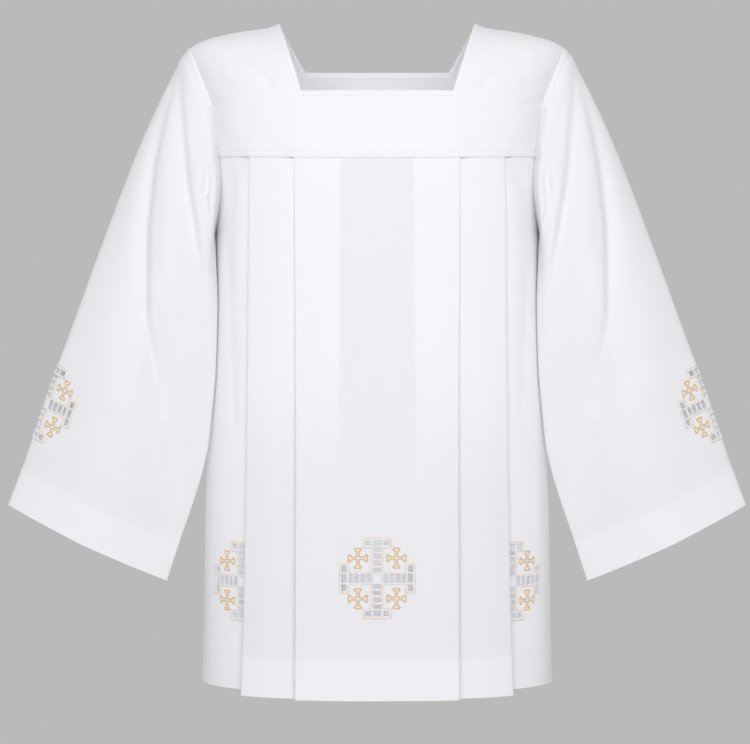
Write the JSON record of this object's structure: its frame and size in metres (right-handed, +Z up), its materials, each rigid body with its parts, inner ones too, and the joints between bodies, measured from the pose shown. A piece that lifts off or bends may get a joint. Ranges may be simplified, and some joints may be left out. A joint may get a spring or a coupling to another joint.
{
  "type": "cotta, a yoked and pleated white surplice, worn form with no wearer",
  "caption": "White cotta with a square neck, yokes, pleated body, wide sleeves and cutwork crosses over the hems.",
  "frame": {"origin": "on the line of the shoulders at the top of the neck opening, half way between front and back", "axes": "+Z up, +X to the wearer's left, the front faces -Y"},
  "size_m": [0.9352, 0.2846, 0.8537],
  "materials": {
    "white_cloth": "fine plain-weave cotton blend, pressed, matte white"
  },
  "bodies": {
    "root": {"yoke_front": "white_cloth", "yoke_back": "white_cloth", "body_front": "white_cloth", "body_back": "white_cloth", "shoulder_strap_right": "white_cloth", "sleeve_right_outer": "white_cloth", "sleeve_right_inner": "white_cloth", "shoulder_strap_left": "white_cloth", "sleeve_left_outer": "white_cloth", "sleeve_left_inner": "white_cloth"}
  },
  "joints": []
}
